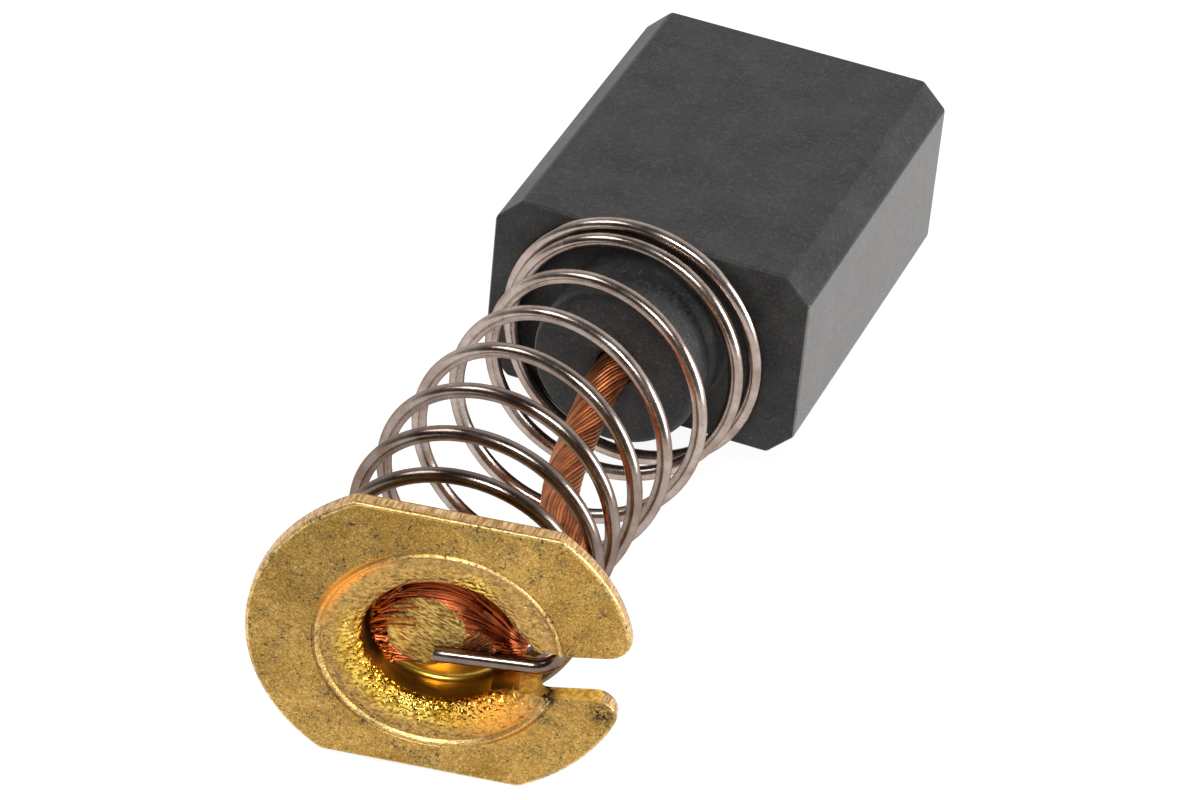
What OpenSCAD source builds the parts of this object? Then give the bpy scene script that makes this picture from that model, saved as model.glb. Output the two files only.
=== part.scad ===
// Carbon brush with pigtail, coil spring and stamped contact cap.
//
// The origin is the centre of the contact face. +Y points at the commutator, +X runs across
// the block's width and +Z through its thickness. The brush is drawn at its free length,
// lying on its side: the spring is bowed a little, so the cap leans as its own values say.

/* [Carbon block] */
// Width of the block
block_w = 10; // [9.6:0.1:12.5]
// Thickness of the block
block_t = 6.3; // [6:0.1:8]
// Length of the block, from the contact face to the shoulder
block_l = 12.5; // [8:0.5:20]
// Chamfer along the four long edges
edge_chamfer = 0.8; // [0.4:0.1:1.2]
// Diameter of the round boss on the shoulder
boss_d = 5.2; // [4.6:0.1:5.6]
// Height of the boss
boss_h = 2.5; // [1.6:0.1:3]
// Bevel round the end of the boss
boss_bevel = 0.25; // [0.1:0.05:0.5]
// Depth of the pigtail's socket below the shoulder
socket_depth = 4; // [3:0.5:6]
// Gap between the pigtail and its socket
socket_gap = 0.02; // [0.01:0.01:0.1]

/* [Spring] */
// Diameter of the spring wire
wire_d = 0.45; // [0.35:0.05:0.55]
// Mean diameter of the free coils
coil_d = 7.25; // [7:0.05:7.6]
// Gap between the boss and the end coil round it
boss_clearance = 1.2; // [0.9:0.1:1.4]
// Gap between the cup's bulge and the end coil round it
cup_clearance = 0.06; // [0.05:0.01:0.12]
// Gap between the wire and the face that it bears on
seat_gap = 0.03; // [0.02:0.01:0.06]
// Whole turns, besides the part turn that the two ends make
whole_turns = 8; // [6:1:9]
// Turns that lie closed against the shoulder
closed_turns = 1.3; // [1:0.05:1.6]
// Angle of the wire's cut end at the shoulder, from +X
start_angle = 252; // [200:1:280]
// Share by which the pitch falls off towards the cap
pitch_taper = 0.56; // [0.3:0.02:0.7]
// How stiffly the spring's axis keeps square to the shoulder
brush_end_stiffness = 1.3; // [1:0.05:1.5]
// How stiffly the spring's axis keeps square to the cap
cap_end_stiffness = 1.35; // [1:0.05:1.5]
// Sideways play of the end coil on the boss
seat_x = -0.15; // [-0.4:0.05:0.4]
// Drop of the end coil on the boss
seat_z = -0.3; // [-0.4:0.05:0.4]
// Radius of the bend where the wire turns into the cup
tail_bend_r = 0.9; // [0.7:0.05:1.1]
// Slope of the tail across the cup
tail_angle = 5; // [2:1:8]
// Distance of the tail from the middle of the cup
tail_drop = 0.9; // [0.8:0.02:0.96]
// Length of the tail's straight part
tail_length = 2.6; // [2:0.1:3]

/* [Contact cap] */
// Diameter of the plate, over its round sides
plate_d = 10.8; // [10.4:0.1:11.6]
// Width of the plate over its two flats
plate_flats = 9.2; // [8.8:0.1:10]
// Thickness of the sheet
sheet_t = 0.5; // [0.4:0.05:0.6]
// Rounding of the blanked edge on the outer face
blank_r = 0.1; // [0.05:0.01:0.2]
// Drop of the ring and the cup below the plate's middle
cup_drop = 0.15; // [0:0.05:0.3]
// Diameter of the coined ring round the cup
ring_d = 6.9; // [6.8:0.1:7.2]
// Depth of the coined ring
ring_depth = 0.08; // [0.04:0.01:0.12]
// Inside diameter of the cup
cup_d = 4.4; // [4.2:0.05:4.5]
// Depth of the cup, from the plate's face to its floor
cup_depth = 1.4; // [1.4:0.05:1.8]
// Thickness of the drawn wall and floor
cup_wall = 0.42; // [0.34:0.02:0.46]
// Thickness of the wall where it is drawn out furthest, at the bulge
bulge_wall = 0.34; // [0.28:0.02:0.36]
// Width of the rounded mouth, from the coined ring to the wall
lip_w = 0.85; // [0.7:0.05:0.9]
// Height of the rounded mouth
lip_h = 0.36; // [0.3:0.02:0.44]
// Rounding between the back of the plate and the cup
root_r = 0.24; // [0.1:0.02:0.3]
// Inside radius of the corner between wall and floor
floor_r = 0.2; // [0.1:0.05:0.3]
// Diameter of the bulge that widens the cup towards the slot
bulge_d = 2.7; // [2.5:0.1:2.8]
// Distance of that bulge from the middle of the cup
bulge_reach = 1.35; // [1.1:0.05:1.4]
// Width of the rounded mouth round the bulge
bulge_lip_w = 0.5; // [0.4:0.05:0.6]
// Width of the slot
slot_w = 1.56; // [1.5:0.02:1.7]
// Slope of the slot
slot_angle = 11; // [8:1:14]
// Distance of the slot's middle line from the middle of the cup
slot_drop = 0.9; // [0.86:0.02:0.96]
// Distance from the middle of the cup at which the slot begins
slot_start = 1.35; // [1.3:0.05:1.5]
// Radius of the two corners at the slot's mouth
mouth_r = 0.6; // [0.3:0.05:0.8]

/* [Free lie] */
// Distance from the shoulder to the cap's outer face, along the block
cap_stand = 16.7; // [15.5:0.1:18]
// Sideways place of the cap
cap_x = 0.45; // [0.2:0.05:0.7]
// Height of the cap
cap_z = -0.45; // [-0.6:0.05:-0.2]
// Turn of the cap about the upright
cap_yaw = 14.7; // [10:0.1:16]
// Roll of the cap
cap_roll = 3.8; // [0:0.1:5]
// Lean of the cap
cap_pitch = 4.6; // [0:0.1:6]

/* [Pigtail] */
// Diameter of the copper pigtail
pigtail_d = 1.1; // [0.9:0.05:1.15]
// Thickness of its flattened, welded end
weld_t = 0.32; // [0.26:0.02:0.34]
// Width of its flattened end
weld_w = 3; // [2.4:0.1:3.2]
// Gap between the flattened end and the cup's floor
weld_gap = 0.02; // [0.01:0.01:0.04]

/* [Hidden] */
$fn = 96;
over = 0.5; // how far a cutting shape runs past the surface that it cuts

wire_r = wire_d / 2;
cup_r = cup_d / 2;
cup_at = [0, -cup_drop];             // middle of the ring and the cup, from the plate's middle
bulge_at = [bulge_reach, -cup_drop - 0.2];
shoulder_y = -block_l;

// Directions of the cap: across its flats, into its depth, and up
cap_across = [cos(cap_yaw) * cos(cap_roll), sin(cap_yaw) * cos(cap_roll), -sin(cap_roll)];
cap_inward = let (x = sin(cap_pitch) * sin(cap_roll), y = cos(cap_pitch))
    [x * cos(cap_yaw) - y * sin(cap_yaw),
     x * sin(cap_yaw) + y * cos(cap_yaw),
     sin(cap_pitch) * cos(cap_roll)];
cap_up = cross(cap_across, cap_inward);
cap_at = [cap_x, shoulder_y - cap_stand, cap_z];

// Spring: end coils, the axis between them, and the tail
brush_coil_r = boss_d / 2 + boss_clearance + wire_r;
cap_coil_at = [0.1, 0.2];             // middle of the last coil, from the plate's middle
cap_coil_r = norm(bulge_at - cap_coil_at) + bulge_d / 2 + bulge_wall + cup_clearance + wire_r;
ring_steps = 24;          // sections in one turn
wire_sides = 8;
axis_steps = 40;
opening_turns = 0.45;     // turns over which the closed coils open out
flare_turns = 2;          // turns over which the coils close in from the shoulder
tuck_turns = 1.4;         // turns over which they close in on the cup
bend_steps = 8;
lip_steps = 10;

// Pigtail
strand_sides = 12;
route_steps = 3;

// ---------------------------------------------------------------- helpers

function smooth(x) = let (c = max(0, min(1, x))) c * c * (3 - 2 * c);
function unit(v) = v / norm(v);
function mix(a, b, t) = a * (1 - t) + b * t;
function running(list, i = 0, sum = 0) =
    i > len(list) ? [] : concat([sum], running(list, i + 1, sum + (i < len(list) ? list[i] : 0)));

// A point given in the cap's own directions: across, into the depth, up
function on_cap(p) = cap_at + p[0] * cap_across + p[1] * cap_inward + p[2] * cap_up;

// Points on an arc round a centre
function arc(centre, r, from, to, steps) =
    [for (i = [0:steps]) let (a = from + (to - from) * i / steps) centre + r * [cos(a), sin(a)]];

// Directions along a path of points
function heading(path, i) = unit(path[min(i + 1, len(path) - 1)] - path[max(i - 1, 0)]);

// A closed tube: `sections` holds one ring of points for each place on its path
module tube(sections) {
    rings = len(sections);
    sides = len(sections[0]);
    points = [for (ring = sections) each ring];
    start_cap = [[for (j = [sides - 1:-1:0]) j]];
    end_cap = [[for (j = [0:sides - 1]) (rings - 1) * sides + j]];
    skin = [for (i = [0:rings - 2], j = [0:sides - 1])
        let (a = i * sides + j, b = i * sides + (j + 1) % sides)
        each [[a, b, b + sides], [a, b + sides, a + sides]]];
    polyhedron(points = points, faces = concat(start_cap, skin, end_cap), convexity = 10);
}

// One ring of a tube: w wide along `side`, h thick across it
function section(at, along, side, w, h, sides) =
    let (across = unit(side - (side * along) * along), other = cross(across, along))
    [for (j = [0:sides - 1]) let (a = 360 * j / sides)
        at + w / 2 * cos(a) * across + h / 2 * sin(a) * other];

// ---------------------------------------------------------------- carbon block

// Block with chamfered long edges, pressed in one with its boss and the pigtail's socket
module carbon_block() {
    half_w = block_w / 2;
    half_t = block_t / 2;
    boss_r = boss_d / 2;
    color("dimgray") rotate([90, 0, 0]) difference() {
        union() {
            linear_extrude(block_l) polygon([
                [-half_w + edge_chamfer, -half_t], [half_w - edge_chamfer, -half_t],
                [half_w, -half_t + edge_chamfer], [half_w, half_t - edge_chamfer],
                [half_w - edge_chamfer, half_t], [-half_w + edge_chamfer, half_t],
                [-half_w, half_t - edge_chamfer], [-half_w, -half_t + edge_chamfer]]);
            translate([0, 0, block_l - over]) rotate_extrude() polygon([
                [0, 0], [boss_r, 0], [boss_r, boss_h + over - boss_bevel],
                [boss_r - boss_bevel, boss_h + over], [0, boss_h + over]]);
        }
        translate([0, 0, block_l - socket_depth])
            cylinder(h = socket_depth + boss_h + over, d = pigtail_d + 2 * socket_gap);
    }
}

// ---------------------------------------------------------------- spring

// The spring's axis runs square off the shoulder and meets the cap square
axis_from = [seat_x, shoulder_y, seat_z];
axis_to = on_cap([cap_coil_at[0], sheet_t, cap_coil_at[1]]);
axis_chord = norm(axis_to - axis_from);
pull_from = [0, -1, 0] * axis_chord * brush_end_stiffness;
pull_to = -cap_inward * axis_chord * cap_end_stiffness;

function axis_point(s) =
    (2 * s ^ 3 - 3 * s ^ 2 + 1) * axis_from + (s ^ 3 - 2 * s ^ 2 + s) * pull_from +
    (3 * s ^ 2 - 2 * s ^ 3) * axis_to + (s ^ 3 - s ^ 2) * pull_to;
function axis_heading(s) = unit(
    (6 * s ^ 2 - 6 * s) * axis_from + (3 * s ^ 2 - 4 * s + 1) * pull_from +
    (6 * s - 6 * s ^ 2) * axis_to + (3 * s ^ 2 - 2 * s) * pull_to);

// Length along the axis, looked up to find the place on it
axis_parts = [for (i = [0:axis_steps - 1])
    norm(axis_point((i + 1) / axis_steps) - axis_point(i / axis_steps))];
axis_sums = running(axis_parts);
axis_length = axis_sums[axis_steps];
axis_table = [for (i = [0:axis_steps]) [axis_sums[i], i / axis_steps]];

// The last coil leaves its circle where the tail's bend is tangent to it
end_angle = let (
        off_line = -sin(tail_angle) * cap_coil_at[0] + cos(tail_angle) * cap_coil_at[1],
        reach = cap_coil_r - tail_bend_r)
    tail_angle + asin((tail_bend_r - tail_drop - off_line) / reach);
turns = whole_turns + (start_angle - end_angle) / 360;
coil_steps = ceil(turns * ring_steps);

// Rise of the wire: closed coils at the shoulder, then a pitch that falls off to the cap
closed_pitch = wire_d * 1.05;
function openness(t) =
    smooth((t - closed_turns) / opening_turns) *
    (1 - pitch_taper * (max(0, t - closed_turns) / (turns - closed_turns)) ^ 1.5);
open_sums = running([for (i = [0:coil_steps - 1]) openness((i + 0.5) * turns / coil_steps)]);
open_rise = axis_length - 2 * (wire_r + seat_gap) - closed_pitch * turns;
function rise(i) =
    wire_r + seat_gap + closed_pitch * turns * i / coil_steps
    + open_rise * open_sums[i] / open_sums[coil_steps];

function coil_r(t) =
    coil_d / 2 + (brush_coil_r - coil_d / 2) * (1 - smooth(t / flare_turns))
    + (cap_coil_r - coil_d / 2) * smooth((t - turns + tuck_turns) / tuck_turns);

coil_path = [for (i = [0:coil_steps]) let (
        t = turns * i / coil_steps,
        s = lookup(rise(i), axis_table),
        along = axis_heading(s),
        rough = unit(mix([1, 0, 0], cap_across, s)),
        across = unit(rough - (rough * along) * along),
        up = cross(along, across),
        angle = start_angle - 360 * t)
    axis_point(s) + coil_r(t) * (cos(angle) * across + sin(angle) * up)];

// The tail bends through the slot and lies across the cup
tail_depth = sheet_t + wire_r + seat_gap;
bend_at = cap_coil_at + (cap_coil_r - tail_bend_r) * [cos(end_angle), sin(end_angle)];
bend_path = arc(bend_at, tail_bend_r, end_angle, tail_angle - 90, bend_steps);
tail_end = bend_path[bend_steps] - tail_length * [cos(tail_angle), sin(tail_angle)];
tail_path = [for (p = concat([for (i = [1:bend_steps]) bend_path[i]], [tail_end]))
    on_cap([p[0], tail_depth, p[1]])];

spring_path = concat(coil_path, tail_path);

module spring() {
    color("silver") tube([for (i = [0:len(spring_path) - 1]) let (
            along = heading(spring_path, i),
            side = i > coil_steps ? cap_inward : axis_heading(i / coil_steps))
        section(spring_path[i], along, side, wire_d, wire_d, wire_sides)]);
}

// ---------------------------------------------------------------- contact cap

// Rounded mouth of a hollow, from the coined ring's floor to the wall, as radius and height
function mouth_curve(inner_r, width) = [for (i = [0:lip_steps]) let (a = 90 * i / lip_steps)
    [inner_r + width * (1 - sin(a)), -ring_depth - lip_h * (1 - cos(a))]];

// Hollow with a rounded mouth, a wall, and a corner rounded into its flat floor
module hollow(inner_r, width) {
    rotate_extrude() polygon(concat(
        [[0, over], [inner_r + width, over]],
        mouth_curve(inner_r, width),
        arc([inner_r - floor_r, -cup_depth + floor_r], floor_r, 0, -90, 5),
        [[0, -cup_depth]]));
}

// Outside of a drawn cup, with its rounded root under the plate
module drawn(inner_r, wall) {
    outer_r = inner_r + wall;
    outer_floor_r = floor_r + wall;
    rotate_extrude() polygon(concat(
        [[0, -ring_depth], [outer_r + root_r, -ring_depth]],
        arc([outer_r + root_r, -sheet_t - root_r], root_r, 90, 180, 5),
        arc([outer_r - outer_floor_r, -cup_depth - cup_wall + outer_floor_r],
            outer_floor_r, 0, -90, 8),
        [[0, -cup_depth - cup_wall]]));
}

// Plate with a rounded outer edge and two flats
module plate() {
    plate_r = plate_d / 2;
    intersection() {
        rotate_extrude() polygon(concat(
            [[0, -sheet_t], [plate_r, -sheet_t]],
            arc([plate_r - blank_r, -blank_r], blank_r, 0, 90, 4),
            [[0, 0]]));
        translate([-plate_r, -plate_flats / 2, -sheet_t]) cube([plate_d, plate_flats, sheet_t]);
    }
}

// Cutter that rounds one corner of the slot's mouth; side is 1 above the slot, -1 below
module mouth_corner(side) {
    rise_y = side * (slot_w / 2 + mouth_r);
    centre = [sqrt((plate_d / 2 - mouth_r) ^ 2 - (rise_y - slot_drop) ^ 2), rise_y];
    reach = mouth_r + over;
    outward = unit(centre - [0, slot_drop]);
    difference() {
        polygon([centre, centre + reach * [0, -side], centre + reach * [1, -side],
                 centre + reach * outward]);
        translate(centre) circle(mouth_r);
    }
}

// The slot runs from beside the cup's middle out through the plate's round side
module slot() {
    rotate([0, 0, slot_angle]) translate([0, -slot_drop, -cup_depth - cup_wall - over])
        linear_extrude(cup_depth + cup_wall + 2 * over) {
            translate([slot_start, -slot_w / 2]) square([plate_d, slot_w]);
            mouth_corner(1);
            mouth_corner(-1);
        }
}

// Round plate with two flats, drawn into a cup near its middle and slotted on one side
module contact_cap() {
    color("goldenrod") translate(cap_at) rotate([cap_pitch, cap_roll, cap_yaw]) rotate([90, 0, 0])
        difference() {
            union() {
                plate();
                translate(cup_at) drawn(cup_r, cup_wall);
                translate(bulge_at) drawn(bulge_d / 2, bulge_wall);
            }
            translate(concat(cup_at, -ring_depth)) cylinder(h = ring_depth + over, d = ring_d);
            translate(cup_at) hollow(cup_r, lip_w);
            translate(bulge_at) hollow(bulge_d / 2, bulge_lip_w);
            slot();
        }
}

// ---------------------------------------------------------------- pigtail

// Route through the free air, from the shoulder's middle: sideways, out, up
free_route = [[0, 3.4, 0], [0.1, 4.6, -0.15], [0.3, 6, -0.2], [0.6, 7.6, 0], [1, 9.2, 0.1],
              [1.5, 10.4, 0.25], [2.05, 11.3, 0.3], [2.35, 12.2, 0.1]];

// Route through the slot and over the cup's floor, in the cap's directions,
// each point followed by the width and the thickness there
weld_depth = cup_depth - weld_gap - weld_t / 2;
weld_route = [
    [[2.15, cup_depth + 1.6, -0.42], pigtail_d, pigtail_d],
    [[2.1, cup_depth + 0.7, -0.45], pigtail_d, pigtail_d * 0.95],
    [[2, cup_depth + 0.15, -0.4], pigtail_d, pigtail_d * 0.65],
    [[1.65, weld_depth, -0.35], pigtail_d * 1.05, weld_t * 1.1],
    [[1, weld_depth, -0.25], weld_w * 0.6, weld_t],
    [[0.4, weld_depth, -0.05], weld_w * 0.9, weld_t],
    [[-0.3, weld_depth, 0], weld_w, weld_t],
    [[-1, weld_depth, 0], weld_w * 0.95, weld_t],
    [[-1.5, weld_depth, 0], weld_w * 0.75, weld_t],
    [[-1.8, weld_depth, -0.05], weld_w * 0.5, weld_t]];

// Each place on the route: the point, then the width and the thickness there
pigtail_route = concat(
    [for (y = [seat_gap - socket_depth, -socket_depth / 2, 0, boss_h])
        [[0, shoulder_y - y, 0], pigtail_d, pigtail_d]],
    [for (p = free_route) [[p[0], shoulder_y - p[1], p[2]], pigtail_d, pigtail_d]],
    [for (w = weld_route) [on_cap(w[0]), w[1], w[2]]]);

// A smooth curve through four places of the route, at t between the middle two
function through(a, b, c, d, t) =
    0.5 * (2 * b + (c - a) * t + (2 * a - 5 * b + 4 * c - d) * t ^ 2
           + (3 * b - a - 3 * c + d) * t ^ 3);
function route_value(k, i, t) = let (
        last = len(pigtail_route) - 1,
        at = function (n) pigtail_route[max(0, min(last, n))][k])
    through(at(i - 1), at(i), at(i + 1), at(i + 2), t);
pigtail_places = concat(
    [for (i = [0:len(pigtail_route) - 2], j = [0:route_steps - 1])
        [for (k = [0:2]) route_value(k, i, j / route_steps)]],
    [pigtail_route[len(pigtail_route) - 1]]);
pigtail_path = [for (p = pigtail_places) p[0]];

// Stranded copper lead, held in the boss at one end and welded to the cup's floor at the other
module pigtail() {
    color("chocolate") tube([for (i = [0:len(pigtail_places) - 1])
        section(pigtail_path[i], heading(pigtail_path, i), cap_up,
                pigtail_places[i][1], pigtail_places[i][2], strand_sides)]);
}

// ---------------------------------------------------------------- nodes

carbon_block();
spring();
contact_cap();
pigtail();
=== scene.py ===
import bpy
import bmesh
import math
import random
import numpy as np
from mathutils import Euler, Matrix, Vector


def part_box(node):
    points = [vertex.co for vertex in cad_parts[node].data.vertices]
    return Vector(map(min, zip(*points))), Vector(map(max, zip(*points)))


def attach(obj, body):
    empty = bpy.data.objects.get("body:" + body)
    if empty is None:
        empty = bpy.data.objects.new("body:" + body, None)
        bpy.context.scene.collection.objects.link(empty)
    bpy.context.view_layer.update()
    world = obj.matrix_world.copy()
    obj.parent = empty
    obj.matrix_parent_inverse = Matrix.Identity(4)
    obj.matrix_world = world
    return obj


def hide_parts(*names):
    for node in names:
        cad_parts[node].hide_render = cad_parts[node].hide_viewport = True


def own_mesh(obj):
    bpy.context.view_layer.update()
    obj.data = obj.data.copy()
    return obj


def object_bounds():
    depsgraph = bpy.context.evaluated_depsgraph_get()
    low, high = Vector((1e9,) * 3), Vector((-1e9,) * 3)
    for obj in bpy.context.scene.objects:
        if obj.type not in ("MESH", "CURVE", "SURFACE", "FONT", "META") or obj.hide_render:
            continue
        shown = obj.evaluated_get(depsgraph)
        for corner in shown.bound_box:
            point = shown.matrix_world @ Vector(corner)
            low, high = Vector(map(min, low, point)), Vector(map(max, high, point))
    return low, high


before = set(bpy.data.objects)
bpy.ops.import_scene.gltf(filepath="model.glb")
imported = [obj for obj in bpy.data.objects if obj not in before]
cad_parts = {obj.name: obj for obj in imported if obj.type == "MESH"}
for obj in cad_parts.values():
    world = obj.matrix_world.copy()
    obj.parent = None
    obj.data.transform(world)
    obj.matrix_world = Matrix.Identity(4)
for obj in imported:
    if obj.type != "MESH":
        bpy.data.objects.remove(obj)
cad_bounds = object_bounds()

MM = 0.001
TURN = 2 * math.pi
random.seed(7)

# ------------------------------------------------------------------ sizes, mm, as in the part's source
block_lo, block_hi = (np.array(c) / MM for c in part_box("carbon_block"))
EDGE_CHAMFER = 0.8
BOSS_R, BOSS_H = 2.6, 2.5
SHOULDER = block_lo[1] + BOSS_H
LEAD_D = 1.1

WIRE_R = 0.225
COIL_R = 3.625
BRUSH_COIL_R = BOSS_R + 1.2 + WIRE_R
CUP_R, CUP_DEPTH, CUP_WALL, CUP_AT = 2.2, 1.4, 0.42, np.array([0, -0.15])
BULGE_R, BULGE_WALL, BULGE_FROM_CUP = 1.35, 0.34, np.array([1.35, -0.2])
SEAT_GAP = 0.03
START_ANGLE = 252
WHOLE_TURNS, CLOSED_TURNS, OPENING_TURNS, FLARE_TURNS, TUCK_TURNS = 8, 1.3, 0.45, 2, 1.4
PITCH_TAPER, CLOSED_PITCH = 0.56, 0.45 * 1.05
AXIS_FROM = np.array([-0.15, SHOULDER, -0.3])
CAP_COIL_AT = np.array([0.1, 0.2])
CAP_COIL_R = np.linalg.norm(CUP_AT + BULGE_FROM_CUP - CAP_COIL_AT) + BULGE_R + BULGE_WALL + 0.06 + WIRE_R
TAIL_BEND_R, TAIL_ANGLE, TAIL_DROP, TAIL_LENGTH = 0.9, 5, 0.9, 2.75
STIFF_BRUSH, STIFF_CAP = 1.3, 1.35

SHEET_T, PLATE_R, PLATE_FLAT = 0.5, 5.4, 4.6
RING_R, RING_DEPTH, FLOOR_R, ROOT_R = 3.45, 0.08, 0.2, 0.24
LIP_W, BULGE_LIP_W, LIP_H = 0.85, 0.5, 0.36
SLOT_HALF, SLOT_DROP, SLOT_ANGLE, SLOT_START, MOUTH_R = 0.78, 0.9, math.radians(11), 1.35, 0.6

CAP_TURN = np.array(Euler([math.radians(a) for a in (4.6, 3.8, 14.7)], "XYZ").to_matrix())
ACROSS, INWARD, UP = CAP_TURN.T
CAP_AT = np.array([0.45, SHOULDER - 16.7, -0.45])

# ------------------------------------------------------------------ helpers


def unit(v):
    return v / np.linalg.norm(v)


def smooth(x):
    c = min(1.0, max(0.0, x))
    return c * c * (3 - 2 * c)


def on_cap(u, depth, v):
    return CAP_AT + u * ACROSS + depth * INWARD + v * UP


def piece(name, verts, faces, body, materials, sharp=None, face_slots=None):
    """A mesh piece in mm that rides on a body."""
    mesh = bpy.data.meshes.new(name)
    mesh.from_pydata([tuple(np.asarray(v) * MM) for v in verts], [], faces)
    obj = bpy.data.objects.new(name, mesh)
    bpy.context.scene.collection.objects.link(obj)
    for m in materials:
        mesh.materials.append(m)
    if face_slots is not None:
        mesh.polygons.foreach_set("material_index", face_slots)
    bm = bmesh.new()
    bm.from_mesh(mesh)
    bmesh.ops.remove_doubles(bm, verts=bm.verts, dist=2e-8)
    bmesh.ops.recalc_face_normals(bm, faces=bm.faces)
    bm.to_mesh(mesh)
    bm.free()
    mesh.polygons.foreach_set("use_smooth", [True] * len(mesh.polygons))
    if sharp:
        mesh.set_sharp_from_angle(angle=math.radians(sharp))
    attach(obj, body)
    return obj


def tube(path, half_w, half_h, side, sides=12):
    """Closed tube: rings of an ellipse, half_w along side and half_h across it."""
    path = np.asarray(path, float)
    n = len(path)
    half_w, half_h = np.broadcast_to(half_w, n), np.broadcast_to(half_h, n)
    side = np.broadcast_to(side, (n, 3))
    verts, faces = [], []
    for i in range(n):
        along = unit(path[min(i + 1, n - 1)] - path[max(i - 1, 0)])
        a = unit(side[i] - side[i].dot(along) * along)
        b = np.cross(along, a)
        for j in range(sides):
            t = TURN * j / sides
            verts.append(path[i] + half_w[i] * math.cos(t) * a + half_h[i] * math.sin(t) * b)
    for i in range(n - 1):
        for j in range(sides):
            k = (j + 1) % sides
            faces.append((i * sides + j, i * sides + k, (i + 1) * sides + k, (i + 1) * sides + j))
    faces.append(tuple(range(sides))[::-1])
    faces.append(tuple((n - 1) * sides + j for j in range(sides)))
    return verts, faces


def join(parts):
    verts, faces = [], []
    for v, f in parts:
        faces += [tuple(i + len(verts) for i in face) for face in f]
        verts += list(v)
    return verts, faces


# ------------------------------------------------------------------ materials


class Nodes:
    """A material's node tree, with short calls for the nodes used here."""

    def __init__(self, name):
        self.material = bpy.data.materials.new(name)
        self.material.use_nodes = True
        self.tree = self.material.node_tree
        self.shader = self.tree.nodes["Principled BSDF"]
        self.coords = self.tree.nodes.new("ShaderNodeTexCoord").outputs["Object"]

    def link(self, a, b):
        self.tree.links.new(a, b)

    def stretched(self, factors, turn=(0, 0, 0)):
        """Coordinates in which a texture is drawn out by these factors along turned axes."""
        node = self.tree.nodes.new("ShaderNodeMapping")
        node.vector_type = "TEXTURE"
        node.inputs["Scale"].default_value = factors
        node.inputs["Rotation"].default_value = turn
        self.link(self.coords, node.inputs["Vector"])
        return node.outputs[0]

    def noise(self, size, detail=4, rough=0.6, vector=None, distort=0.0):
        """Noise whose features are about size mm across."""
        node = self.tree.nodes.new("ShaderNodeTexNoise")
        node.inputs["Scale"].default_value = 1 / (size * MM)
        node.inputs["Detail"].default_value = detail
        node.inputs["Roughness"].default_value = rough
        node.inputs["Distortion"].default_value = distort
        self.link(vector or self.coords, node.inputs["Vector"])
        return node.outputs["Fac"]

    def cells(self, size, vector=None):
        node = self.tree.nodes.new("ShaderNodeTexVoronoi")
        node.inputs["Scale"].default_value = 1 / (size * MM)
        self.link(vector or self.coords, node.inputs["Vector"])
        return node.outputs["Distance"]

    def ramp(self, value, stops):
        node = self.tree.nodes.new("ShaderNodeValToRGB")
        band = node.color_ramp
        while len(band.elements) < len(stops):
            band.elements.new(0.5)
        for e, (pos, colour) in zip(band.elements, stops):
            e.position = pos
            if not isinstance(colour, tuple):
                colour = (colour, colour, colour)
            e.color = (*colour, 1)
        self.link(value, node.inputs["Fac"])
        return node.outputs["Color"]

    def mix(self, factor, a, b, mode="MIX"):
        node = self.tree.nodes.new("ShaderNodeMix")
        node.data_type, node.blend_type = "RGBA", mode
        for socket, value in ((node.inputs[0], factor), (node.inputs[6], a), (node.inputs[7], b)):
            if isinstance(value, bpy.types.NodeSocket):
                self.link(value, socket)
            elif isinstance(value, tuple):
                socket.default_value = (*value, 1)
            else:
                socket.default_value = value
        return node.outputs[2]

    def math(self, kind, a, b=0.0):
        node = self.tree.nodes.new("ShaderNodeMath")
        node.operation = kind
        for socket, value in zip(node.inputs, (a, b)):
            if isinstance(value, bpy.types.NodeSocket):
                self.link(value, socket)
            else:
                socket.default_value = value
        return node.outputs[0]

    def along(self, at, direction):
        """Distance in mm from a point, measured along one direction."""
        shift = self.tree.nodes.new("ShaderNodeVectorMath")
        shift.operation = "SUBTRACT"
        self.link(self.coords, shift.inputs[0])
        shift.inputs[1].default_value = at * MM
        dot = self.tree.nodes.new("ShaderNodeVectorMath")
        dot.operation = "DOT_PRODUCT"
        self.link(shift.outputs[0], dot.inputs[0])
        dot.inputs[1].default_value = direction / MM
        return self.math("ABSOLUTE", dot.outputs["Value"])

    def from_plate_point(self, u, v, scale):
        """Distance in mm from a point of the plate, measured in its own plane, times a scale."""
        squares = [self.math("POWER", self.along(on_cap(u, 0, v), d), 2.0) for d in (ACROSS, UP)]
        return self.math("MULTIPLY", self.math("SQRT", self.math("ADD", *squares)), scale)

    def bump(self, height, depth, strength=1.0, under=None):
        """Bump whose full height is depth mm."""
        node = self.tree.nodes.new("ShaderNodeBump")
        node.inputs["Strength"].default_value = strength
        node.inputs["Distance"].default_value = depth * MM
        self.link(height, node.inputs["Height"])
        if under is not None:
            self.link(under, node.inputs["Normal"])
        return node.outputs[0]

    def finish(self, colour, rough, metallic=0.0, normal=None, **plain):
        for name, value in (("Base Color", colour), ("Roughness", rough)):
            if isinstance(value, bpy.types.NodeSocket):
                self.link(value, self.shader.inputs[name])
            else:
                self.shader.inputs[name].default_value = value
        self.shader.inputs["Metallic"].default_value = metallic
        for name, value in plain.items():
            self.shader.inputs[name.replace("_", " ")].default_value = value
        if normal is not None:
            self.link(normal, self.shader.inputs["Normal"])
        return self.material


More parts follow.
